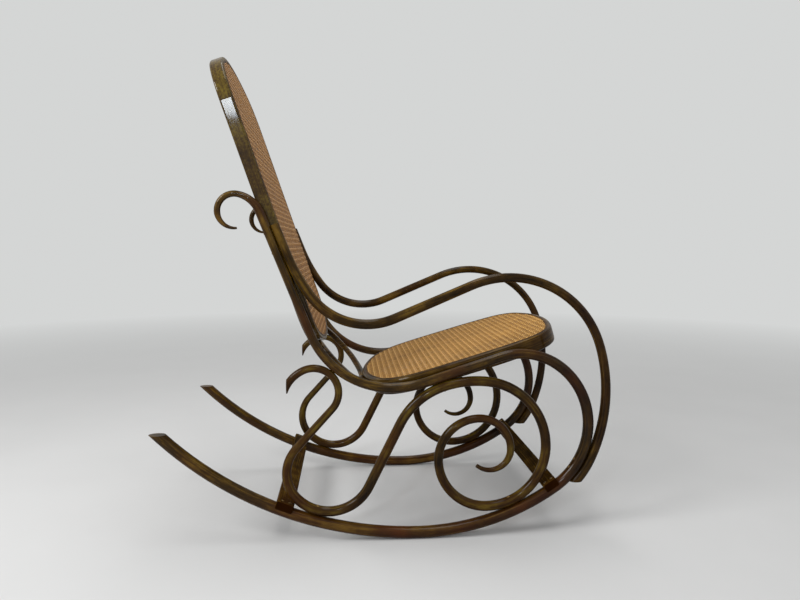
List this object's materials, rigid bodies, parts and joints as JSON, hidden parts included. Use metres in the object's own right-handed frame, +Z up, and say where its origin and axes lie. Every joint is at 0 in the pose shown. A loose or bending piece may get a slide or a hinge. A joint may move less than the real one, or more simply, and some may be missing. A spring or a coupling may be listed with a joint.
{
  "type": "bentwood rocking chair",
  "caption": "Bentwood rocking chair with scrolled side frames, long curved runners, looping armrests, a caned seat and a tall arched caned back.",
  "frame": {"origin": "on the floor, below the middle of the overall bounding box", "axes": "+X the way the sitter faces, +Y to the sitter's left, +Z up"},
  "size_m": [1.0615, 0.527, 1.1393],
  "materials": {
    "bent_wood": "dark brown glossy lacquer on bent beech",
    "seat_cane": "golden woven cane",
    "back_cane": "pinkish tan woven cane",
    "spline": "reed spline",
    "screws": "aged brass"
  },
  "bodies": {
    "root": {"right_side_rod": "bent_wood", "left_side_rod": "bent_wood", "right_armrest": "bent_wood", "left_armrest": "bent_wood", "right_scroll": "bent_wood", "left_scroll": "bent_wood", "seat_ring": "bent_wood", "seat_cane": "seat_cane", "seat_spline": "spline", "back_ring": "bent_wood", "back_cane": "back_cane", "back_spline": "spline", "back_bow": "bent_wood", "front_stretcher": "bent_wood", "rear_stretcher": "bent_wood", "arm_post_screws": "screws", "arm_front_screws": "screws", "scroll_runner_screws": "screws", "scroll_rail_screws": "screws", "scroll_heel_screws": "screws", "seat_screws": "screws", "back_screws": "screws", "stretcher_screws": "screws", "bow_seat_screws": "screws", "bow_back_screws": "screws"}
  },
  "joints": []
}
